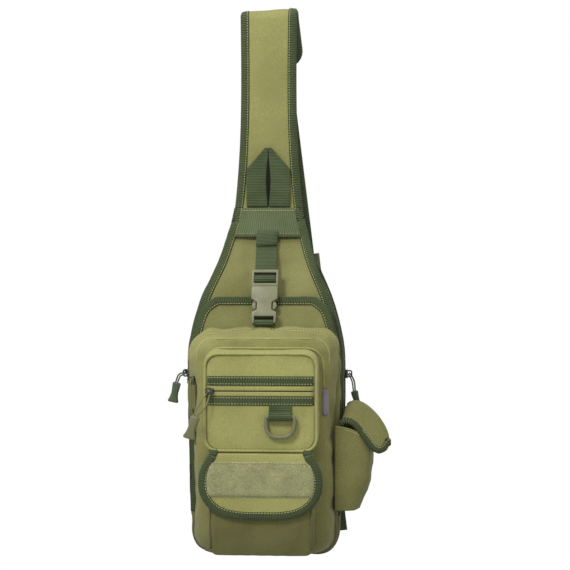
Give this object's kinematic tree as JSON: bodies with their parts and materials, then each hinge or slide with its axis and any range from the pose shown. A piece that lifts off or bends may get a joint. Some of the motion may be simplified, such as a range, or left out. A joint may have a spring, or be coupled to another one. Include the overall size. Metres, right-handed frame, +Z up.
{
  "type": "sling bag",
  "caption": "One-strap sling bag: padded strap, stacked zipped compartments, flap pockets, side pouch, compression buckle and rear webbing, hung by the strap's fold.",
  "frame": {"origin": "inner top of the strap's fold, where a peg holds the bag", "axes": "+Z up, +X to the right in front view, the bag's front faces -Y"},
  "size_m": [0.2545, 0.1645, 0.6412],
  "materials": {
    "khaki_cloth": "matt woven nylon, khaki",
    "khaki_shade_cloth": "matt woven nylon, khaki, on the gussets",
    "green_binding": "ribbed grosgrain binding and webbing, dark green",
    "green_webbing": "ribbed webbing, lighter green",
    "loop_pile": "loop side of hook-and-loop tape, fuzzy",
    "moulded_plastic": "moulded acetal, khaki grey",
    "dark_metal": "painted zinc slider, dark",
    "grip_rubber": "soft moulded grip, dark green",
    "grip_khaki": "soft moulded grip, khaki",
    "label_cloth": "woven label, pale, left blank"
  },
  "bodies": {
    "bag": {"main_front_panel": "khaki_cloth", "mid_panel": "khaki_cloth", "front_pocket_panel": "khaki_cloth", "upper_pocket_top_panel": "khaki_cloth", "upper_pocket_bottom_panel": "khaki_cloth", "upper_pocket_piping": "khaki_cloth", "lower_pocket": "khaki_cloth", "strap_pad": "khaki_cloth", "back_panel": "khaki_shade_cloth", "main_gusset": "khaki_shade_cloth", "mid_gusset": "khaki_shade_cloth", "front_pocket_gusset": "khaki_shade_cloth", "upper_pocket_gusset": "khaki_shade_cloth", "upper_zip": "khaki_shade_cloth", "flap_hinge_strip": "khaki_shade_cloth", "side_pouch": "khaki_shade_cloth", "front_binding_left": "green_binding", "front_binding_right": "green_binding", "rear_binding": "green_binding", "mid_binding": "green_binding", "strap_binding": "green_binding", "tape_strip_top": "green_binding", "tape_strip_bottom": "green_binding", "d_ring_tab": "green_binding", "strap_webbing": "green_binding", "return_webbing": "green_binding", "webbing_turn": "green_binding", "anchor_tab": "green_binding", "main_zip": "green_binding", "cross_band": "green_webbing", "buckle_webbing_upper": "green_webbing", "buckle_webbing_lower": "green_webbing", "pocket_loop_strip": "loop_pile", "buckle_socket": "moulded_plastic", "buckle_plug": "moulded_plastic", "strap_ring": "moulded_plastic", "label": "label_cloth"},
    "lower_flap": {"lower_flap": "khaki_cloth", "lower_flap_binding": "green_binding", "loop_panel": "loop_pile", "flap_hook_strip": "green_binding"},
    "side_flap": {"side_flap": "khaki_cloth", "side_flap_binding": "green_binding"},
    "grab_loop": {"grab_loop": "green_binding"},
    "d_ring": {"d_ring": "moulded_plastic"},
    "left_prong": {"plug_prong_left": "moulded_plastic"},
    "right_prong": {"plug_prong_right": "moulded_plastic"},
    "tri_glide": {"tri_glide": "moulded_plastic"},
    "upper_slider": {"upper_slider": "dark_metal"},
    "upper_pull": {"upper_pull_cord": "green_binding", "upper_pull_grip": "grip_khaki"},
    "front_slider": {"front_slider": "dark_metal"},
    "front_pull": {"front_pull_cord": "green_binding", "front_pull_grip": "grip_rubber"},
    "mid_slider": {"mid_slider": "dark_metal"},
    "mid_pull": {"mid_pull_cord": "green_binding", "mid_pull_grip": "grip_rubber"},
    "main_slider": {"main_slider": "dark_metal"},
    "main_pull": {"main_pull_cord": "green_binding", "main_pull_grip": "grip_rubber"}
  },
  "joints": [
    {"name": "lower_flap_open", "type": "hinge", "parent": "bag", "child": "lower_flap", "pos_m": [0, -0.1376, -0.509], "axis": [-1, 0, 0], "range_deg": [0, 120]},
    {"name": "side_flap_open", "type": "hinge", "parent": "bag", "child": "side_flap", "pos_m": [0.0929, -0.062, -0.4612], "axis": [0, -1, 0], "range_deg": [0, 58]},
    {"name": "grab_loop_lift", "type": "hinge", "parent": "bag", "child": "grab_loop", "pos_m": [0, -0.0158, -0.2272], "axis": [1, 0, 0], "range_deg": [0, 75]},
    {"name": "d_ring_swing", "type": "hinge", "parent": "bag", "child": "d_ring", "pos_m": [0.022, -0.1396, -0.4643], "axis": [-1, 0, 0], "range_deg": [0, 100]},
    {"name": "left_prong_squeeze", "type": "hinge", "parent": "bag", "child": "left_prong", "pos_m": [-0.011, -0.06914, -0.32278], "axis": [0, -0.9272, 0.3746], "range_deg": [0, 6], "stiffness_Nm_per_rad": 0.6},
    {"name": "right_prong_squeeze", "type": "hinge", "parent": "bag", "child": "right_prong", "pos_m": [0.011, -0.06914, -0.32278], "axis": [0, 0.9272, -0.3746], "range_deg": [0, 6], "stiffness_Nm_per_rad": 0.6},
    {"name": "tri_glide_slide", "type": "slide", "parent": "bag", "child": "tri_glide", "axis": [0.1219, 0, -0.9925], "range_m": [-0.15, 0.15]},
    {"name": "upper_zip_slide", "type": "slide", "parent": "bag", "child": "upper_slider", "axis": [1, 0, 0], "range_m": [0, 0.104]},
    {"name": "upper_pull_swing", "type": "hinge", "parent": "upper_slider", "child": "upper_pull", "pos_m": [-0.056, -0.139, -0.437], "axis": [0, -1, 0], "range_deg": [0, 45]},
    {"name": "front_zip_slide", "type": "slide", "parent": "bag", "child": "front_slider", "axis": [0, 0, -1], "range_m": [0, 0.11]},
    {"name": "front_pull_swing", "type": "hinge", "parent": "front_slider", "child": "front_pull", "pos_m": [-0.0829, -0.094, -0.428], "axis": [-1, 0, 0], "range_deg": [0, 35]},
    {"name": "mid_zip_slide", "type": "slide", "parent": "bag", "child": "mid_slider", "axis": [0, 0, -1], "range_m": [0, 0.12]},
    {"name": "mid_pull_swing", "type": "hinge", "parent": "mid_slider", "child": "mid_pull", "pos_m": [-0.0916, -0.068, -0.421], "axis": [0, 1, 0], "range_deg": [0, 50]},
    {"name": "main_zip_slide", "type": "slide", "parent": "bag", "child": "main_slider", "axis": [0, 0, -1], "range_m": [0, 0.12]},
    {"name": "main_pull_swing", "type": "hinge", "parent": "main_slider", "child": "main_pull", "pos_m": [0.096, -0.024, -0.424], "axis": [0, -1, 0], "range_deg": [0, 50]}
  ]
}
